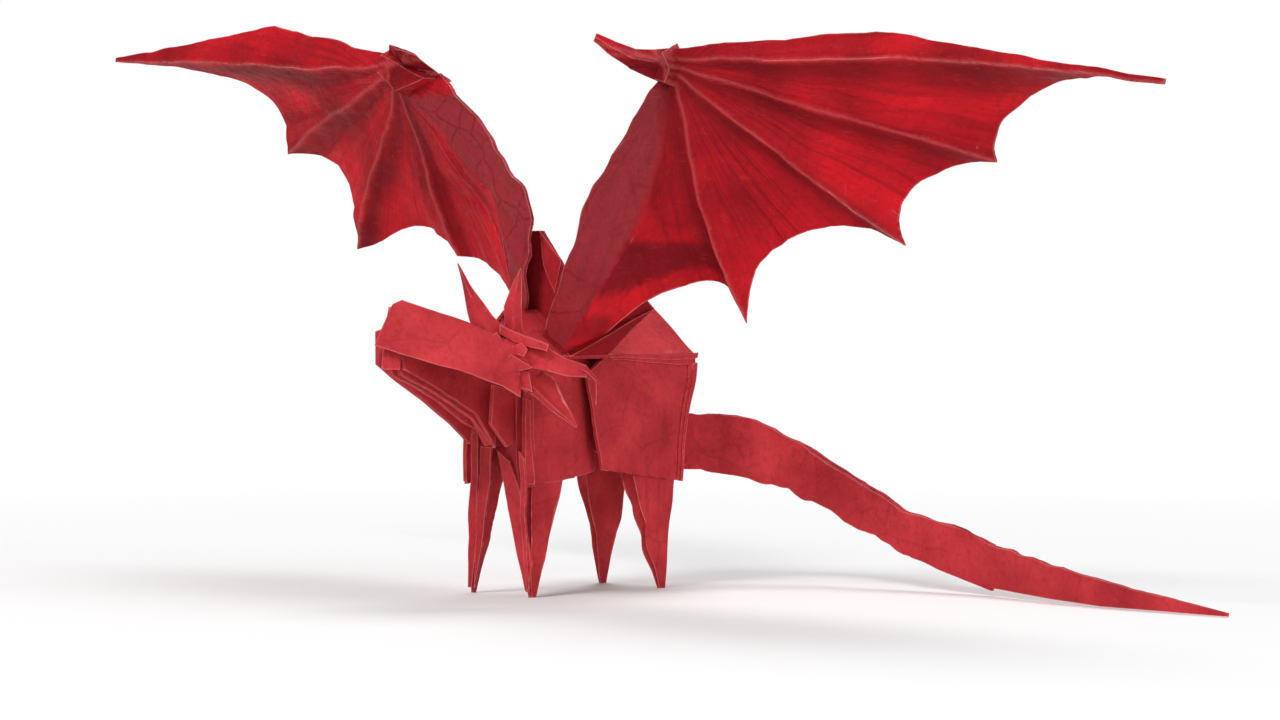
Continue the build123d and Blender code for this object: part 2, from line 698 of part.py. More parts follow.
def cheeks():
    centre_along, centre_up = CHEEK_CENTRE_SHARES
    sections = []
    for aside, fullness in CHEEK_LAYER_SHARES:
        section = []
        for along, up in CHEEK_SHARES:
            full_along = centre_along + (along - centre_along) * fullness
            full_up = centre_up + (up - centre_up) * fullness
            section.append(head_point(full_along, aside, full_up))
        sections.append(section)
    return ruled(sections)


def lower_jaw():
    sections = []
    for station in JAW_SHARES:
        sections.append([head_point(along, aside, up) for along, up, aside in station])
    return ruled(sections)


pieces = {
    "left wing": wing(LEFT, LEFT_RIB_SHARES, LEFT_RIM_SHARES, LEFT_GUSSET_SHARES),
    "right wing": wing(RIGHT, RIGHT_RIB_SHARES, RIGHT_RIM_SHARES, RIGHT_GUSSET_SHARES),
    "left knot": wrist_knot(LEFT, LEFT_KNOT_SHARES),
    "right knot": wrist_knot(RIGHT, RIGHT_KNOT_SHARES),
    "left claw": wrist_claw(LEFT, LEFT_CLAW_SHARES, LEFT_CLAW_TIP_SHARES, CLAW_TIP, -CLAW_SAG),
    "right claw": wrist_claw(RIGHT, RIGHT_CLAW_SHARES, RIGHT_CLAW_TIP_SHARES, THUMB_SIZE, THUMB_ARCH),
    "roof": roof(),
    "spine": spine(),
    "chest": cross_panel(CHEST_SHARES, CHEST_BACK_SHARE),
    "rump": cross_panel(RUMP_SHARES, RUMP_BACK_SHARE),
    "tail base": tail_strip(TAIL_BASE_SHARES),
    "tail tip": tail_strip(TAIL_TIP_SHARES),
    "lower neck": lower_neck(),
    "collar": collar(),
    "tongue": neck_tongue(),
    "crimp": neck_crimp(),
    "beak": beak(),
    "hook": spike(HOOK_SHARES, 0.0),
    "cheeks": cheeks(),
    "near horn": spike(NEAR_HORN_SHARES, HORN_OFFSET_SHARES["near"]),
    "far horn": spike(FAR_HORN_SHARES, HORN_OFFSET_SHARES["far"]),
    "lower jaw": lower_jaw(),
}
for side, name in ((LEFT, "left"), (RIGHT, "right")):
    pieces[name + " hind flank"] = hind_flank(side)
    pieces[name + " front flank"] = front_flank(side)
    pieces[name + " front leg"] = front_leg(side)
    pieces[name + " hind leg"] = hind_leg(side)
    for hem, (outline_shares, plies) in HEM_SHARES.items():
        pieces[name + " " + hem] = flank_hem(side, outline_shares, plies)
    for plate, (outline_shares, out_share) in PLATE_SHARES.items():
        pieces[name + " " + plate] = head_plate(side, outline_shares, out_share)
solids = list(pieces.values())
dragon = solids[0].fuse(*solids[1:])
middle = dragon.bounding_box().center()
dragon = dragon.moved(Location((-middle.X, -middle.Y, 0)))

os.makedirs("parts", exist_ok=True)
export_step(dragon, "parts/folded_dragon.step")
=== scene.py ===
from functools import lru_cache
from math import atan2, radians

import bmesh
import bpy
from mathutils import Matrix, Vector, geometry, kdtree, noise


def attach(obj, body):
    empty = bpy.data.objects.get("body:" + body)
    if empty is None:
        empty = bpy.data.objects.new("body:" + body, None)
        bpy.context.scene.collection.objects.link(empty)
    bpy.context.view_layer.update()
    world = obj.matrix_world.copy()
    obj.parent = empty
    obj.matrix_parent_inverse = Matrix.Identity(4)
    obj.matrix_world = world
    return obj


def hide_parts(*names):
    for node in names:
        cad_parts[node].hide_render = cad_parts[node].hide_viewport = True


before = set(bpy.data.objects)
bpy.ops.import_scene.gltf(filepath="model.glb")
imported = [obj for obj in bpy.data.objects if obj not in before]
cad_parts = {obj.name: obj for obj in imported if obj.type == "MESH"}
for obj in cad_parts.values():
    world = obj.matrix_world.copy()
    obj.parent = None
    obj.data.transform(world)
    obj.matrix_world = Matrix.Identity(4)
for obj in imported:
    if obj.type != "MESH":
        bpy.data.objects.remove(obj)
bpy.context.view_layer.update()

# The folded paper dragon: the solid's own panels, crumpled and creased as folded paper is.
# Lengths named here are in millimetres unless a comment says otherwise, and MM turns them into metres.
MM = 0.001

# The photograph's camera, in the frame of the solid, with its angles in degrees
CAMERA_PLACE = Vector((646.6, -582.4, 69.7)) * MM
CAMERA_AZIMUTH = 47.0
CAMERA_PITCH = 1.29
CAMERA_LENS = 112.5
SENSOR_WIDTH = 36.0
NEAREST_SEEN = 10.0

# How finely the paper is divided: more so in the small folds of the legs and the neck,
# and most along the ribs of the wings
LONGEST_EDGE = 2.4
LONGEST_SMALL_EDGE = 1.5
LONGEST_RIB_EDGE = 1.2
RIB_ZONE = 2.6
NECK_BACK = -20.0
NECK_HEIGHT = 74.0
MOST_HALVINGS = 8
# Corners this close together are one, and a fold has a hard edge from this angle on
SAME_PLACE = 0.001
HARD_ANGLE = radians(22)

# Crumples and creases as length and depth, and the share of them that the flat panels of the body take.
# The seed makes the crumples the same each time.
CRUMPLE_SEED = 7
CRUMPLES = [(30.0, 0.7), (12.0, 0.4), (5.5, 0.2)]
CREASES = [(24.0, 0.7), (11.0, 0.45), (5.0, 0.2)]
BODY_SHARE = 0.6
# The noise value that leaves a creased point in place, and how far apart in the noise the three axes are read
CREASE_LEVEL = 0.3
CREASE_SHIFT = Vector((5.3, 2.1, 7.7))
# The tail is creased across more than the rest
TAIL_START = 27.0
TAIL_CREASES = [(13.0, 1.4), (6.0, 0.7)]

# The feet stay in place on the floor, and the paper moves freely from this height up.
# Long pleats run down the legs and fade out below the body; their shift sets x and y apart in the noise.
FOOT_ZONE = 12.0
LEG_HEIGHT = 34.0
LEG_FADE_START = 27.2
LEG_PLEAT_WIDTH = 3.2
LEG_PLEAT_RUN = 70.0
LEG_PLEAT_DEPTH = 1.3
LEG_PLEAT_SHIFT = Vector((4.7, 9.1, 0))

# The body: the hems of its flank panels are laid close to them, down to a share of how far they stand out,
# a crease runs across the hind panel, as y and z along it, and the roof leans down from its ridge
FLANK_OUT = 10.3
FLANK_TOP = 51.5
FLANK_BOTTOM = 22.0
FLANK_INSIDE = 8.2
FLANK_OUTSIDE = 12.5
CHEST_FRONT = -21.8
HEM_SHARE = 0.4
FLANK_CREASE = [(24.2, 45.6), (8.9, 36.8)]
FLANK_CREASE_WIDTH = 6.0
FLANK_CREASE_DEPTH = 0.8
FLANK_CREASE_FADE = 8.0
ROOF_RIDGE = 60.6
ROOF_LEAN = 0.98
ROOF_CLEARANCE = 1.2

# The wings' fold lines as seen from the front: shares of the reach and of the rise above the shoulder
LEFT = 1
RIGHT = -1
WING_REACH = 167.0
WING_RISE = 62.0
SHOULDER_HEIGHT = 55.0
WRIST_SHARES = (0.265, 0.92)
FOLD_SHARES = {
    LEFT: {
        "hem": [(0.252, 0.865), (0.234, 0.67), (0.203, 0.46), (0.145, 0.235), (0.036, -0.11)],
        "inner": [(0.262, 0.875), (0.262, 0.69), (0.254, 0.49), (0.254, 0.275), (0.28, 0.05)],
        "middle": [(0.269, 0.90), (0.325, 0.755), (0.388, 0.625), (0.452, 0.47), (0.526, 0.31)],
        "outer": [(0.271, 0.925), (0.38, 0.825), (0.485, 0.753), (0.586, 0.667), (0.68, 0.58)],
        "finger": [(0.268, 0.95), (0.45, 0.917), (0.612, 0.913), (0.803, 0.866), (1.0, 0.80)],
    },
    RIGHT: {
        "hem": [(0.262, 0.895), (0.182, 0.72), (0.106, 0.535), (0.054, 0.34), (0.036, -0.11)],
        "inner": [(0.275, 0.905), (0.279, 0.76), (0.282, 0.60), (0.284, 0.44), (0.285, 0.284)],
        "middle": [(0.285, 0.925), (0.329, 0.777), (0.40, 0.633), (0.471, 0.477), (0.527, 0.309)],
        "outer": [(0.290, 0.948), (0.381, 0.884), (0.48, 0.828), (0.579, 0.766), (0.68, 0.684)],
        "finger": [(0.293, 0.975), (0.453, 0.981), (0.621, 1.018), (0.811, 1.045), (1.0, 1.065)],
    },
}
RIBS = ("inner", "middle", "outer", "finger")
# Steps in each bend of a fold line, and the least drop of a step, for those that run level
FOLD_STEPS = 40
LEAST_DROP = 0.01
# Where the wings begin above the body, and the line between them:
# it leans to the left, since the right wing's arm leans over the back
WING_TOP = 75.0
WING_FLOOR = 52.0
WING_FRONT = -19.5
DIVIDE_LEAN = 0.35
DIVIDE_FLOOR = 50.0
DIVIDE_MOST = 9.0

# Each rib is a ridge that falls off gently on its upper side and steeply on its lower side,
# and that reaches its height some way out from the wrist. A pale line is painted along its top, partly rubbed
# paper and partly painted highlight, and a band of painted shade lies along its lower side.
RIB_HEIGHT = 2.4
RIB_UPPER_WIDTH = 11.0
RIB_LOWER_WIDTH = 3.0
RIB_START = 26.0
CREST_WIDTH = 0.6
RIB_SHADE_RISE = (0.2, 1.2)
RIB_SHADE_FALL = (2.0, 6.0)
# The arm band lies over the wing's skin, up to the wrist, and is crumpled most
BAND_LIFT = 0.8
BAND_TOP = 108.0
BAND_CREASES = [(15.0, 1.0), (7.0, 0.6)]
HEM_FADE = 0.5
# Pleats fan out from the wrist, so many to a radian, and are quiet next to the ribs. The shift sets the
# two wings apart in the noise, and the level is the noise value that leaves a point in place.
PLEAT_DEPTH = 1.7
PLEAT_TURNS = 9.0
PLEAT_LENGTH = 70.0
PLEAT_START = 25.0
PLEAT_SHIFT = 3.0
PLEAT_LEVEL = 0.25
QUIET_WIDTH = 5.0
# Painted light: the wings' colour is made lighter away from the ribs and from the wrist, as light comes
# through the skin there
GLOW_FROM_RIB = 9.0
GLOW_FROM_WRIST = (12.0, 60.0)
# Below a level fold, the left wing's inner panel turns under and runs back to the eaves,
# and it lies in shade there but for the hem along its rim
TURN_HEIGHT = 76.0
TURN_SLOPE = 0.45
TURN_FADE = 9.0
SHADE_EDGE = (-3.0, -1.0)
SHADE_FADE = 1.5
RIM_HEM = (2.0, 3.2)
RIM_EVENING = 3

# Single folds that lie over the solid, as outlines of x, y and z, with what is marked on each
FOLD_THICKNESS = 0.5
SINGLE_FOLDS = {
    "left_root_fold": (
        [
            (10.8, 0.8, 51.3), (19.0, 7.0, 61.3), (21.0, 2.0, 64.5),
            (16.0, -9.5, 65.0), (6.0, -10.0, 55.0), (10.6, -9.8, 51.3),
        ],
        {"wing": 1.0, "shade": 0.7},
    ),
    "shoulder_fold": (
        [
            (-11.7, -9.8, 78.0), (1.5, -9.3, 77.9), (9.0, -9.0, 69.0),
            (8.0, -9.0, 62.0), (4.0, -9.0, 55.5), (-6.7, -9.4, 58.8),
        ],
        {"wing": 1.0, "band": 0.5},
    ),
    "shoulder_pleat": (
        [(1.5, -10.4, 77.9), (7.3, -9.4, 71.6), (5.0, -9.2, 64.5), (2.6, -10.2, 70.5)],
        {"wing": 0.5},
    ),
    "left_leg_inner_pleat": (
        [
            (2.0, -22.4, 31.0), (5.5, -22.4, 28.8), (8.3, -22.0, 22.5), (11.4, -21.0, 7.1),
            (9.7, -20.6, 1.2), (8.8, -20.6, 1.4), (4.5, -22.0, 18.7),
        ],
        {},
    ),
    "left_leg_outer_pleat": (
        [
            (9.0, -22.7, 31.0), (10.4, -22.5, 29.4), (10.7, -22.2, 16.7),
            (10.2, -20.8, 2.1), (9.4, -20.8, 1.2), (9.2, -22.3, 16.7),
        ],
        {},
    ),
    "right_leg_outer_pleat": (
        [
            (-7.2, -22.4, 34.2), (-4.9, -22.4, 35.3), (-5.3, -22.2, 24.8), (-6.0, -21.3, 13.0),
            (-8.6, -20.7, 1.2), (-9.8, -20.7, 1.2), (-7.9, -22.1, 20.8),
        ],
        {},
    ),
    "right_leg_inner_pleat": (
        [
            (-4.3, -22.1, 31.7), (-0.7, -22.1, 31.8), (-1.6, -21.9, 23.8),
            (-4.6, -21.2, 10.4), (-8.0, -20.5, 1.2), (-6.3, -21.4, 12.9),
        ],
        {},
    ),
}
# What is marked on each point of the paper for its material
MARKS = ("wing", "band", "painted_glow", "shade", "painted_rib_shade", "crest_wear_and_highlight", "turn", "reach")

# Colours of the paper: deep and light tones, marks, and pale and dark lines along its folds. The wings' light
# tone also takes the painted light through the skin; the pale lines are partly painted highlight, the dark
# ones painted shade.
BODY_DEEP = (0.38, 0.022, 0.030, 1)
BODY_LIGHT = (0.60, 0.044, 0.052, 1)
WING_DEEP = (0.27, 0.005, 0.010, 1)
WING_LIGHT = (0.72, 0.010, 0.020, 1)
BAND_COLOUR = (0.25, 0.028, 0.036, 1)
SHADE_COLOUR = (0.14, 0.003, 0.008, 1)
# Pale: partly rubbed paper, partly painted highlight
EDGE_WEAR_AND_HIGHLIGHT_COLOUR = (0.74, 0.20, 0.20, 1)
# Dark: flecks in the paper, and painted shade in folds and creases
FLECK_AND_CREASE_SHADE_COLOUR = (0.13, 0.004, 0.008, 1)
FIBRE_COLOUR = (0.66, 0.12, 0.12, 1)
# How strongly the marks are tinted, one after the other: the band's own colour, painted shade under the left
# wing's level fold and below the ribs, and a pale line along the ribs that is partly painted highlight
MARK_TINTS = {
    "band": (0.8, BAND_COLOUR),
    "shade": (0.75, SHADE_COLOUR),
    "painted_rib_shade": (0.6, SHADE_COLOUR),
    "crest_wear_and_highlight": (0.25, EDGE_WEAR_AND_HIGHLIGHT_COLOUR),
}
# Patterns in the paper: scale and detail of the noise, and the two values of it between which they come up
BODY_CLOUDS = (90, 5, 0.3, 0.7)
WING_CLOUDS = (55, 6, 0.36, 0.66)
FINE_CLOUDS = (420, 4, 0.3, 0.7)
FLECKS = (900, 6, 0.48, 0.75)
LEVEL_FIBRES = (260, 3, 0.64, 0.72)
UPRIGHT_FIBRES = (240, 3, 0.65, 0.73)
LINE_BREAKS = (60, 2, 0.34, 0.56)
# How much denser the noise is along x, y and z, which leaves long fibres across that direction
LEVEL_STRETCH = (1, 1, 9)
UPRIGHT_STRETCH = (8, 8, 1)
# How strongly the patterns show, and how strongly the painted light through the wings shows
CLOUD_SHARE = 0.6
GLOW_SHARE = 0.5
FLECK_SHARE = 0.25
FIBRE_SHARE = 0.12
# Streaks in the wings, laid out by turn and reach
STREAK_SCALE = 26
STREAK_DETAIL = 5
STREAK_VALUES = (0.5, 0.68)
STREAK_SHARE = 0.5
# Crumple lines, dark lines of painted shade in creases too fine for the mesh, run along the edges of cells
# that waver a little
CELL_SCALE = 85
WAVER_SCALE = 120
WAVER_DETAIL = 3
WAVER_DEPTH = 4.0
LINE_WIDTH = 0.038
CRUMPLE_SHADE_SHARE = 0.2
BAND_CRUMPLE_SHADE_SHARE = 0.36
# Lines along the folds, pale on the outside, partly rubbed paper and partly painted highlight, and painted
# shade inside:
# how wide, how far the rounded surface turns away from the flat one, how hard the fold is,
# and how strongly they show, in patches on the outside
FOLD_LINE_WIDTH = 0.45
FOLD_LINE_SAMPLES = 4
FOLD_LINE_FACING = (0.99, 0.88)
FULL_FOLD = 0.6
PATCH_NOISE = (300, 3)
PATCH_VALUES = (0.3, 0.65, 0.35, 0.9)
INSIDE_SHADE_SHARE = 0.7
# Relief too fine for the mesh, as strength and depth, with the scale and detail of its noise
PLEAT_BUMP = (0.6, 1.2)
WRINKLE_NOISE = (170, 5)
WRINKLE_BUMP = (0.55, 0.6)
GRAIN_NOISE = (1500, 4)
GRAIN_BUMP = (0.35, 0.15)
ROUGHNESS = (0.55, 0.78)
SHINE = 0.1

# The floor, in metres: it is pale near the figure and goes over into white further out
FLOOR_WIDTH = 8
FLOOR_FADE = (0.12, 0.42)
FLOOR_COLOUR = (0.9, 0.9, 0.9, 1)
FLOOR_ROUGHNESS = 0.9
WHITE = (1, 1, 1, 1)
SEEN_STRENGTH = 1.0
# The light from all around, and the lamps: place, target and width in metres, and power in watts
WORLD_STRENGTH = 0.30
LAMPS = {
    "key": ((0.2, -1.2, 1.3), (0, 0, 0.07), 0.5, 16),
    "fill": ((1.0, -0.9, 0.3), (0, 0, 0.05), 0.9, 3),
    "side": ((1.5, 0.1, 0.7), (0, 0, 0.07), 0.7, 5),
    "top": ((-0.5, 0.6, 1.5), (0, 0, 0.09), 0.8, 12),
}


def smooth_step(value, low, high):
    """0 up to a low length in millimetres and 1 from a high one, with the value in metres."""
    share = min(1.0, max(0.0, (value - low * MM) / (high * MM - low * MM)))
    return share * share * (3 - 2 * share)


def wing_point(side, out, up):
    """A place on a wing as seen from the front, in metres out from the middle and up from the floor."""
    return Vector((side * out * WING_REACH, SHOULDER_HEIGHT + up * WING_RISE)) * MM


def fold_points(side, shares):
    """Places along a fold line of two bends."""
    ends = [wing_point(side, out, up) for out, up in shares]
    points = []
    for start, through, end in (ends[0:3], ends[2:5]):
        pull = through * 2 - (start + end) / 2
        for step in range(FOLD_STEPS):
            t = step / FOLD_STEPS
            points.append(start * (1 - t) ** 2 + pull * (2 * t * (1 - t)) + end * t ** 2)
    return points + [ends[-1]]


WRISTS = {side: wing_point(side, *WRIST_SHARES) for side in FOLD_SHARES}
FOLDS = {
    side: {name: fold_points(side, shares) for name, shares in lines.items()}
    for side, lines in FOLD_SHARES.items()
}


def rib_tree(side, name):
    """The places along a rib in a search tree, and the direction of the rib at each."""
    line = FOLDS[side][name]
    runs = [(end - start).normalized() for start, end in zip(line, line[1:])]
    tree = kdtree.KDTree(len(runs))
    for index in range(len(runs)):
        tree.insert(line[index].to_3d(), index)
    tree.balance()
    return tree, runs


RIB_TREES = {side: [rib_tree(side, name) for name in RIBS] for side in FOLDS}


@lru_cache(maxsize=None)
def rib_offsets(side, out, up):
    """The distances of a place from the ribs of a wing, below zero on the lower side of a rib."""
    place = Vector((out, up))
    offsets = []
    for tree, runs in RIB_TREES[side]:
        nearest, index, _ = tree.find(place.to_3d())
        away = place - nearest.to_2d()
        offsets.append(side * (runs[index].x * away.y - runs[index].y * away.x))
    return offsets


def wing_side(point):
    divide = min(DIVIDE_MOST * MM, DIVIDE_LEAN * (point.z - DIVIDE_FLOOR * MM))
    return LEFT if point.x > divide else RIGHT


def on_wing(point):
    """Whether a point is on a wing, and so clear of the roof, the neck and the head."""
    if point.z > WING_TOP * MM:
        return True
    roof = (ROOF_RIDGE + ROOF_CLEARANCE) * MM - ROOF_LEAN * abs(point.x)
    return point.z > max(WING_FLOOR * MM, roof) and point.y > WING_FRONT * MM


def beyond(place, line):
    """How far out of a falling fold line a place lies, level with it, in metres."""
    if place.y >= line[0].y:
        return abs(place.x) - abs(line[0].x)
    for upper, lower in zip(line, line[1:]):
        if lower.y <= place.y <= upper.y:
            share = (place.y - lower.y) / max(upper.y - lower.y, LEAST_DROP * MM)
            return abs(place.x) - abs(lower.x + (upper.x - lower.x) * share)
    return abs(place.x) - abs(line[-1].x)


def on_band(point):
    """1 on the arm band of a wing and 0 off it."""
    if point.z > BAND_TOP * MM or not on_wing(point):
        return 0.0
    past_hem = beyond(point.xz, FOLDS[wing_side(point)]["hem"])
    return 1.0 - smooth_step(past_hem, -HEM_FADE, HEM_FADE)


def wing_place(point):
    """The wing that a point is on, its turn about the wrist, its reach from it and its rib offsets."""
    side = wing_side(point)
    from_wrist = point.xz - WRISTS[side]
    turn = atan2(from_wrist.y, side * from_wrist.x)
    return side, turn, from_wrist.length, rib_offsets(side, point.x, point.z)


def below_turn(point):
    """Whether a point is on the left wing, below its level fold."""
    return on_wing(point) and wing_side(point) == LEFT and point.z <= TURN_HEIGHT * MM


def turned_under(point):
    """How far back a point of the left wing's inner panel lies below its level fold, in metres."""
    if not below_turn(point):
        return 0.0
    inside = 1.0 - smooth_step(beyond(point.xz, FOLDS[LEFT]["inner"]), -TURN_FADE, 0)
    clear = smooth_step(beyond(point.xz, FOLDS[LEFT]["hem"]), 0, TURN_FADE)
    return (TURN_HEIGHT * MM - point.z) * TURN_SLOPE * inside * clear


def rim_heights(places):
    """The height of the left wing's rim at each millimetre out from the middle, evened out."""
    lowest = {}
    for place in places:
        if on_wing(place) and wing_side(place) == LEFT:
            step = round(place.x / MM)
            lowest[step] = min(place.z, lowest.get(step, place.z))
    heights = {}
    for step in lowest:
        steps = range(step - RIM_EVENING, step + RIM_EVENING + 1)
        near = [lowest[other] for other in steps if other in lowest]
        heights[step] = sum(near) / len(near)
    return heights


def shade(point, rim):
    """1 in the dark between the left wing's level fold and the hem along its rim, and 0 elsewhere."""
    if not below_turn(point):
        return 0.0
    inside = 1.0 - smooth_step(beyond(point.xz, FOLDS[LEFT]["inner"]), *SHADE_EDGE)
    below = smooth_step(TURN_HEIGHT * MM - point.z, 0, SHADE_FADE)
    over_rim = smooth_step(point.z - rim[round(point.x / MM)], *RIM_HEM)
    return inside * below * over_rim * (1.0 - on_band(point))


def wing_marks(point, rim):
    """What is marked at a point of a wing. Nothing is marked off the wings."""
    if not on_wing(point):
        return {}
    _, turn, reach, offsets = wing_place(point)
    nearest = min(offsets, key=abs)
    return {
        "wing": 1.0,
        "band": on_band(point),
        # Painted light through the skin, away from the ribs and from the wrist
        "painted_glow": smooth_step(abs(nearest), 0, GLOW_FROM_RIB) * smooth_step(reach, *GLOW_FROM_WRIST),
        "shade": shade(point, rim),
        # Painted shade in a band along the lower side of the nearest rib
        "painted_rib_shade": smooth_step(-nearest, *RIB_SHADE_RISE) * (1.0 - smooth_step(-nearest, *RIB_SHADE_FALL)),
        # A pale line along the rib's top: partly rubbed paper, partly painted highlight
        "crest_wear_and_highlight": 1.0 - smooth_step(abs(nearest), 0, CREST_WIDTH),
        "turn": turn,
        "reach": reach,
    }


def crease_move(point, creases):
    """A move that has sharp creases between smooth facets."""
    move = Vector()
    for length, depth in creases:
        place = point / (length * MM)
        for axis in range(len(move)):
            level = abs(noise.noise(place + CREASE_SHIFT * axis))
            move[axis] += (CREASE_LEVEL - level) * depth * MM
    return move


def rib_rise(offset):
    width = RIB_UPPER_WIDTH if offset > 0 else RIB_LOWER_WIDTH
    return max(0.0, 1.0 - abs(offset) / (width * MM))


def wing_move(point):
    """The move of a point of a wing: ridges along the ribs, pleats from the wrist and a creased band."""
    side, turn, reach, offsets = wing_place(point)
    ridge = max(map(rib_rise, offsets)) * RIB_HEIGHT * smooth_step(reach, 0, RIB_START)
    fan = noise.noise(Vector((turn * PLEAT_TURNS, reach / (PLEAT_LENGTH * MM), side * PLEAT_SHIFT)))
    pleat = (abs(fan) - PLEAT_LEVEL) * PLEAT_DEPTH * smooth_step(reach, 0, PLEAT_START)
    quiet = smooth_step(min(map(abs, offsets)), 0, QUIET_WIDTH)
    forward = ridge + pleat * quiet + BAND_LIFT * on_band(point)
    band_creases = crease_move(point, BAND_CREASES) * on_band(point)
    return band_creases + Vector((0, turned_under(point) - forward * MM, 0))


def leg_move(point):
    """Long pleats down the legs."""
    place = point.xy.to_3d() / (LEG_PLEAT_WIDTH * MM)
    place.z = point.z / (LEG_PLEAT_RUN * MM)
    aside = (PLEAT_LEVEL - abs(noise.noise(place))) * LEG_PLEAT_DEPTH * MM
    along = (PLEAT_LEVEL - abs(noise.noise(place + LEG_PLEAT_SHIFT))) * LEG_PLEAT_DEPTH * MM
    fade = 1.0 - smooth_step(point.z, LEG_FADE_START, LEG_HEIGHT)
    return Vector((aside, along, 0)) * fade


def on_flank(point):
    level = FLANK_BOTTOM * MM < point.z < FLANK_TOP * MM
    return level and point.y > CHEST_FRONT * MM and FLANK_INSIDE * MM < abs(point.x) < FLANK_OUTSIDE * MM


def flank_move(point):
    """Lays the flank's hems close to it and folds a crease across the hind panel."""
    side = 1 if point.x > 0 else -1
    out = max(0.0, abs(point.x) - FLANK_OUT * MM)
    start, end = (Vector(place) * MM for place in FLANK_CREASE)
    run = end - start
    away = point.yz - start
    distance = abs(run.x * away.y - run.y * away.x) / run.length
    crease = max(0.0, 1.0 - distance / (FLANK_CREASE_WIDTH * MM)) * FLANK_CREASE_DEPTH * MM
    crease_end = FLANK_CREASE[-1][0]
    crease *= smooth_step(point.y, crease_end - FLANK_CREASE_FADE, crease_end)
    return Vector((side * (crease - out * (1.0 - HEM_SHARE)), 0, 0))


def crumple(point):
    """The move of a point of the paper, much the same for both skins of a sheet."""
    move = Vector()
    for length, depth in CRUMPLES:
        move += noise.noise_vector(point / (length * MM)) * (depth * MM)
    move += crease_move(point, CREASES)
    if on_wing(point):
        move += wing_move(point)
    elif point.y > TAIL_START * MM:
        move += crease_move(point, TAIL_CREASES)
    else:
        move *= BODY_SHARE
        if on_flank(point):
            move += flank_move(point)
    if point.z < LEG_HEIGHT * MM and point.y < TAIL_START * MM:
        move += leg_move(point)
    return move * smooth_step(point.z, 0, FOOT_ZONE)


def is_long(edge):
    """Whether an edge is longer than the paper's edges are where it lies."""
    middle = (edge.verts[0].co + edge.verts[1].co) / 2
    small = middle.z < LEG_HEIGHT * MM or (middle.y < NECK_BACK * MM and middle.z < NECK_HEIGHT * MM)
    longest = LONGEST_SMALL_EDGE if small else LONGEST_EDGE
    if on_wing(middle):
        offsets = rib_offsets(wing_side(middle), middle.x, middle.z)
        if min(map(abs, offsets)) < RIB_ZONE * MM:
            longest = LONGEST_RIB_EDGE
    return edge.calc_length() > longest * MM


def refine(mesh):
    """Halves every long edge, as often as it takes up to a limit."""
    for _ in range(MOST_HALVINGS):
        long_edges = [edge for edge in mesh.edges if is_long(edge)]
        bmesh.ops.subdivide_edges(mesh, edges=long_edges, cuts=1)
        bmesh.ops.triangulate(mesh, faces=[face for face in mesh.faces if len(face.verts) > 3])


def fold_sign(vertex):
    """1 on the outside of a hard fold, -1 in the inside of one and 0 elsewhere."""
    hard_edges = [edge for edge in vertex.link_edges if edge.calc_face_angle(0) > HARD_ANGLE]
    signs = [1.0 if edge.is_convex else -1.0 for edge in hard_edges]
    return sum(signs) / len(signs) if signs else 0.0


def finished(mesh, name, marks):
    """The mesh as data under a name, with the marks of each of its points and with its hard folds."""
    mesh.normal_update()
    values = {mark: [found.get(mark, 0.0) for found in marks] for mark in MARKS}
    values["fold"] = [fold_sign(vertex) for vertex in mesh.verts]
    data = bpy.data.meshes.new(name)
    mesh.to_mesh(data)
    mesh.free()
    for mark, numbers in values.items():
        data.attributes.new(mark, "FLOAT", "POINT").data.foreach_set("value", numbers)
    data.polygons.foreach_set("use_smooth", [True] * len(data.polygons))
    data.set_sharp_from_angle(angle=HARD_ANGLE)
    return data


def dragon_mesh(node):
    """The solid's own mesh, divided finely and crumpled."""
    mesh = bmesh.new()
    mesh.from_mesh(node.data)
    mesh.transform(node.matrix_world)
    bmesh.ops.remove_doubles(mesh, verts=mesh.verts, dist=SAME_PLACE * MM)
    bmesh.ops.dissolve_degenerate(mesh, edges=mesh.edges, dist=SAME_PLACE * MM)
    bmesh.ops.triangulate(mesh, faces=mesh.faces)
    refine(mesh)
    places = [vertex.co.copy() for vertex in mesh.verts]
    for vertex, place in zip(mesh.verts, places):
        vertex.co = place + crumple(place)
    rim = rim_heights(places)
    return finished(mesh, "dragon_paper", [wing_marks(place, rim) for place in places])


def fold_mesh(name, outline, marks):
    """A single fold: a flat piece of paper, creased as the rest is."""
    corners = [Vector(corner) * MM for corner in outline]
    depth = geometry.normal(corners) * (FOLD_THICKNESS * MM)
    mesh = bmesh.new()
    front = [mesh.verts.new(corner) for corner in corners]
    back = [mesh.verts.new(corner - depth) for corner in corners]
    mesh.faces.new(front)
    mesh.faces.new(back[::-1])
    for index in range(len(corners)):
        mesh.faces.new((front[index], front[index - 1], back[index - 1], back[index]))
    bmesh.ops.triangulate(mesh, faces=mesh.faces)
    refine(mesh)
    for vertex in mesh.verts:
        vertex.co += crease_move(vertex.co, CREASES) * smooth_step(vertex.co.z, 0, FOOT_ZONE)
    return finished(mesh, name, [marks] * len(mesh.verts))


def paper_piece(data, material):
    data.materials.append(material)
    piece = bpy.data.objects.new(data.name, data)
    bpy.context.scene.collection.objects.link(piece)
    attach(piece, "root")
    return piece


def build_dragon(material):
    dragon = paper_piece(dragon_mesh(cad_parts["folded_dragon"]), material)
    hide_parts("folded_dragon")
    for name, (outline, marks) in SINGLE_FOLDS.items():
        paper_piece(fold_mesh(name, outline, marks), material)


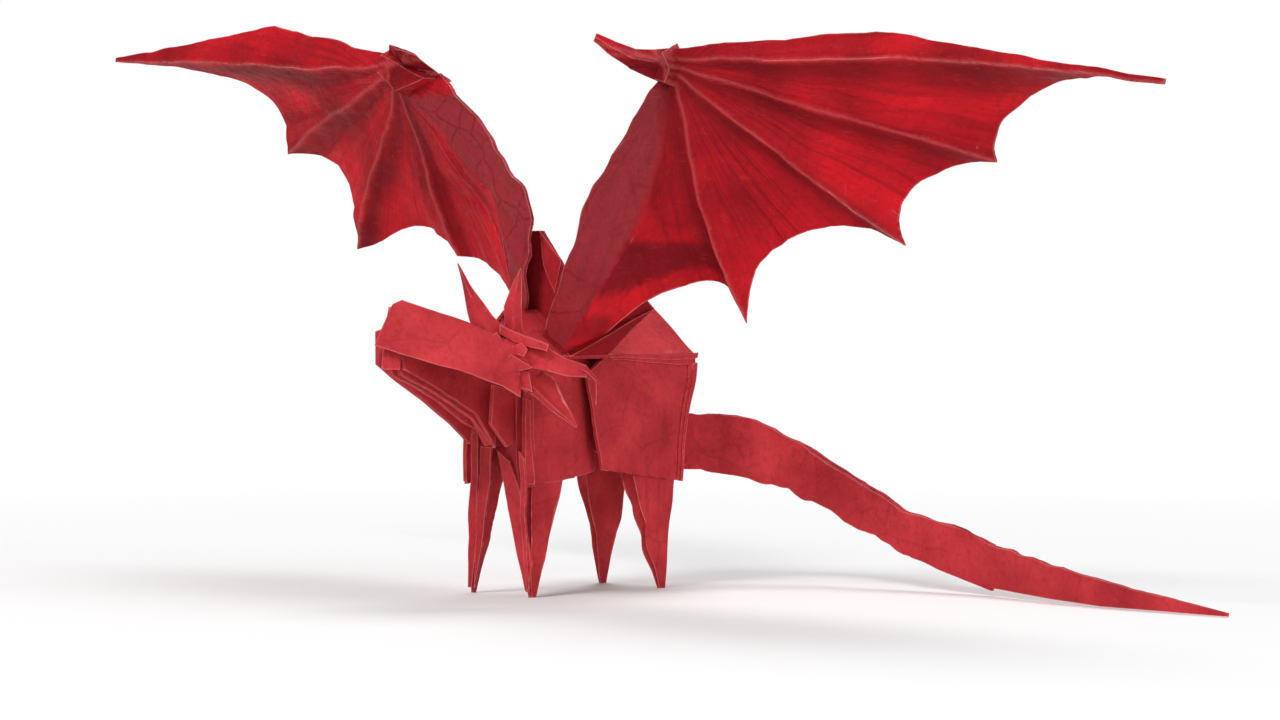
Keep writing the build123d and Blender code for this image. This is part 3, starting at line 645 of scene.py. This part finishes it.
class Nodes:
    """Short calls for the node tree of a material or a world, whose own shader node has a given name."""

    # Sockets that share their names with others and so go by their places
    MIX_COLOURS = (6, 7)
    MIX_RESULT = 2
    MIX_SHADERS = (1, 2)

    def __init__(self, owner, shader):
        owner.use_nodes = True
        self.tree = owner.node_tree
        self.shader = self.tree.nodes[shader]

    def put(self, socket, value):
        if isinstance(value, bpy.types.NodeSocket):
            self.tree.links.new(value, socket)
        else:
            socket.default_value = value

    def new(self, kind, **values):
        node = self.tree.nodes.new(kind)
        for name, value in values.items():
            self.put(node.inputs[name], value)
        return node

    def attribute(self, name):
        node = self.new("ShaderNodeAttribute")
        node.attribute_name = name
        return node.outputs["Fac"]

    def place(self):
        return self.new("ShaderNodeTexCoord").outputs["Object"]

    def noise(self, scale, detail, stretch=(1, 1, 1)):
        stretched = self.new("ShaderNodeMapping", Vector=self.place(), Scale=stretch).outputs["Vector"]
        node = self.new("ShaderNodeTexNoise", Vector=stretched, Scale=scale, Detail=detail)
        return node.outputs["Fac"]

    def spread(self, value, low, high, start=0.0, end=1.0):
        """A value between low and high, laid out from start to end."""
        node = self.new("ShaderNodeMapRange", Value=value)
        node.inputs["From Min"].default_value = low
        node.inputs["From Max"].default_value = high
        node.inputs["To Min"].default_value = start
        node.inputs["To Max"].default_value = end
        return node.outputs["Result"]

    def pattern(self, scale, detail, low, high, stretch=(1, 1, 1)):
        return self.spread(self.noise(scale, detail, stretch), low, high)

    def math(self, operation, first, second):
        node = self.new("ShaderNodeMath")
        node.operation = operation
        node.use_clamp = True
        self.put(node.inputs[0], first)
        self.put(node.inputs[1], second)
        return node.outputs[0]

    def vector_math(self, operation, *vectors):
        node = self.new("ShaderNodeVectorMath")
        node.operation = operation
        for socket, vector in zip(node.inputs, vectors):
            self.put(socket, vector)
        return node

    def mix(self, share, first, second):
        node = self.new("ShaderNodeMix")
        node.data_type = "RGBA"
        self.put(node.inputs["Factor"], share)
        for place, colour in zip(self.MIX_COLOURS, (first, second)):
            self.put(node.inputs[place], colour)
        return node.outputs[self.MIX_RESULT]

    def tint(self, skin, where, strength, colour):
        """The skin with a colour laid over a part of it."""
        return self.mix(self.math("MULTIPLY", where, strength), skin, colour)

    def bump(self, height, strength, depth):
        return self.new("ShaderNodeBump", Height=height, Strength=strength, Distance=depth * MM)

    def camera_ray(self):
        return self.new("ShaderNodeLightPath").outputs["Is Camera Ray"]

    def put_out(self, output, share, first, second):
        """Puts out a mix of two shaders, the second to the given share."""
        choice = self.new("ShaderNodeMixShader", Fac=share)
        for place, shader in zip(self.MIX_SHADERS, (first, second)):
            self.put(choice.inputs[place], shader)
        self.put(self.tree.nodes[output].inputs["Surface"], choice.outputs["Shader"])


def wing_streaks(nodes):
    """Noise in streaks that fan out from the wrist of each wing."""
    fan = nodes.new("ShaderNodeCombineXYZ", X=nodes.attribute("turn"), Y=nodes.attribute("reach"))
    place = fan.outputs["Vector"]
    streaks = nodes.new("ShaderNodeTexNoise", Vector=place, Scale=STREAK_SCALE, Detail=STREAK_DETAIL)
    return streaks.outputs["Fac"]


def marked_skin(nodes, streaks):
    """The colours of the body and the wings, with what is marked on them, painted light and shade among it.
    """
    body = nodes.mix(nodes.pattern(*BODY_CLOUDS), BODY_DEEP, BODY_LIGHT)
    clouds = nodes.math("MULTIPLY", nodes.pattern(*WING_CLOUDS), CLOUD_SHARE)
    # The wings' random tone, made lighter still by the painted light through the skin
    tone_and_painted_glow = nodes.math("ADD", clouds, nodes.math("MULTIPLY", nodes.attribute("painted_glow"), GLOW_SHARE))
    wing = nodes.mix(tone_and_painted_glow, WING_DEEP, WING_LIGHT)
    wing = nodes.tint(wing, nodes.spread(streaks, *STREAK_VALUES), STREAK_SHARE, SHADE_COLOUR)
    skin = nodes.mix(nodes.attribute("wing"), body, wing)
    for mark, (strength, colour) in MARK_TINTS.items():
        skin = nodes.tint(skin, nodes.attribute(mark), strength, colour)
    return nodes.tint(skin, nodes.pattern(*FLECKS), FLECK_SHARE, FLECK_AND_CREASE_SHADE_COLOUR)


def with_fibres(nodes, skin):
    """Adds the long fibres in the paper, level ones and upright ones."""
    level = nodes.pattern(*LEVEL_FIBRES, LEVEL_STRETCH)
    upright = nodes.pattern(*UPRIGHT_FIBRES, UPRIGHT_STRETCH)
    return nodes.tint(skin, nodes.math("MAXIMUM", level, upright), FIBRE_SHARE, FIBRE_COLOUR)


def with_crumple_shade_lines(nodes, skin):
    """Adds broken crumple lines of painted shade, most of all on the arm bands."""
    place = nodes.place()
    waver = nodes.new("ShaderNodeTexNoise", Vector=place, Scale=WAVER_SCALE, Detail=WAVER_DETAIL)
    shift = nodes.vector_math("SCALE", waver.outputs["Color"])
    nodes.put(shift.inputs["Scale"], WAVER_DEPTH * MM)
    bent_place = nodes.vector_math("ADD", place, shift.outputs["Vector"]).outputs["Vector"]
    cells = nodes.new("ShaderNodeTexVoronoi", Vector=bent_place, Scale=CELL_SCALE)
    cells.feature = "DISTANCE_TO_EDGE"
    lines = nodes.spread(cells.outputs["Distance"], LINE_WIDTH, 0.0)
    broken = nodes.math("MULTIPLY", lines, nodes.pattern(*LINE_BREAKS))
    on_bands = nodes.math("MULTIPLY", nodes.attribute("band"), BAND_CRUMPLE_SHADE_SHARE)
    # Dark lines painted as the shade in fine crumple creases
    return nodes.tint(skin, broken, nodes.math("ADD", on_bands, CRUMPLE_SHADE_SHARE), FLECK_AND_CREASE_SHADE_COLOUR)


def with_fold_wear_highlight_and_shade(nodes, skin):
    """Makes the outside of the folds pale, partly as rubbed paper and partly as painted highlight, and paints
    shade inside them.
    """
    bevel = nodes.new("ShaderNodeBevel", Radius=FOLD_LINE_WIDTH * MM)
    bevel.samples = FOLD_LINE_SAMPLES
    flat = nodes.new("ShaderNodeNewGeometry").outputs["Normal"]
    facing = nodes.vector_math("DOT_PRODUCT", bevel.outputs["Normal"], flat)
    near_fold = nodes.spread(facing.outputs["Value"], *FOLD_LINE_FACING)
    fold = nodes.attribute("fold")
    outside = nodes.math("MULTIPLY", near_fold, nodes.spread(fold, 0.0, FULL_FOLD))
    inside = nodes.math("MULTIPLY", near_fold, nodes.spread(fold, 0.0, -FULL_FOLD))
    patches = nodes.spread(nodes.noise(*PATCH_NOISE), *PATCH_VALUES)
    # The pale outside of the folds: partly rubbed paper, partly painted highlight
    skin = nodes.tint(skin, outside, patches, EDGE_WEAR_AND_HIGHLIGHT_COLOUR)
    # Painted shade inside the folds
    return nodes.tint(skin, inside, INSIDE_SHADE_SHARE, FLECK_AND_CREASE_SHADE_COLOUR)


def paper_relief(nodes, streaks):
    """The surface's normal with pleats, wrinkles and grain laid over each other."""
    pleats = nodes.bump(streaks, *PLEAT_BUMP)
    wrinkles = nodes.bump(nodes.noise(*WRINKLE_NOISE), *WRINKLE_BUMP)
    grain = nodes.bump(nodes.noise(*GRAIN_NOISE), *GRAIN_BUMP)
    nodes.put(wrinkles.inputs["Normal"], pleats.outputs["Normal"])
    nodes.put(grain.inputs["Normal"], wrinkles.outputs["Normal"])
    return grain.outputs["Normal"]


def paper_material():
    material = bpy.data.materials.new("red_craft_paper")
    nodes = Nodes(material, "Principled BSDF")
    streaks = wing_streaks(nodes)
    skin = with_fibres(nodes, marked_skin(nodes, streaks))
    skin = with_fold_wear_highlight_and_shade(nodes, with_crumple_shade_lines(nodes, skin))
    roughness = nodes.spread(nodes.pattern(*FINE_CLOUDS), 0, 1, *ROUGHNESS)
    nodes.put(nodes.shader.inputs["Base Color"], skin)
    nodes.put(nodes.shader.inputs["Roughness"], roughness)
    nodes.put(nodes.shader.inputs["Specular IOR Level"], SHINE)
    nodes.put(nodes.shader.inputs["Normal"], paper_relief(nodes, streaks))
    return material


def floor_material():
    """Takes the shadow near the figure and looks white further out."""
    material = bpy.data.materials.new("pale_floor")
    nodes = Nodes(material, "Principled BSDF")
    nodes.put(nodes.shader.inputs["Base Color"], FLOOR_COLOUR)
    nodes.put(nodes.shader.inputs["Roughness"], FLOOR_ROUGHNESS)
    away = nodes.vector_math("LENGTH", nodes.place()).outputs["Value"]
    seen = nodes.math("MULTIPLY", nodes.spread(away, *FLOOR_FADE), nodes.camera_ray())
    white = nodes.new("ShaderNodeEmission", Color=WHITE, Strength=SEEN_STRENGTH)
    nodes.put_out("Material Output", seen, nodes.shader.outputs["BSDF"], white.outputs["Emission"])
    return material


def stage():
    bpy.ops.mesh.primitive_plane_add(size=FLOOR_WIDTH)
    floor = bpy.context.object
    floor.name = "floor"
    floor.data.materials.append(floor_material())


def studio_world():
    """Even light from all around, which the camera sees as white."""
    world = bpy.data.worlds.new("studio")
    bpy.context.scene.world = world
    nodes = Nodes(world, "Background")
    nodes.put(nodes.shader.inputs["Color"], WHITE)
    nodes.put(nodes.shader.inputs["Strength"], WORLD_STRENGTH)
    white = nodes.new("ShaderNodeBackground", Color=WHITE, Strength=SEEN_STRENGTH)
    light = nodes.shader.outputs["Background"]
    nodes.put_out("World Output", nodes.camera_ray(), light, white.outputs["Background"])


def area_light(name, place, target, width, power):
    data = bpy.data.lights.new(name, "AREA")
    data.size = width
    data.energy = power
    light = bpy.data.objects.new(name, data)
    light.location = place
    light.rotation_euler = (Vector(target) - Vector(place)).to_track_quat("-Z", "Y").to_euler()
    bpy.context.scene.collection.objects.link(light)


def camera():
    data = bpy.data.cameras.new("photo_view")
    data.lens = CAMERA_LENS
    data.sensor_width = SENSOR_WIDTH
    data.clip_start = NEAREST_SEEN * MM
    view = bpy.data.objects.new("photo_view", data)
    view.location = CAMERA_PLACE
    view.rotation_euler = (radians(90 - CAMERA_PITCH), 0, radians(CAMERA_AZIMUTH))
    bpy.context.scene.collection.objects.link(view)
    bpy.context.scene.camera = view


bpy.context.scene.view_settings.view_transform = "Standard"
noise.seed_set(CRUMPLE_SEED)
build_dragon(paper_material())
stage()
studio_world()
for lamp, (place, target, width, power) in LAMPS.items():
    area_light(lamp, place, target, width, power)
camera()
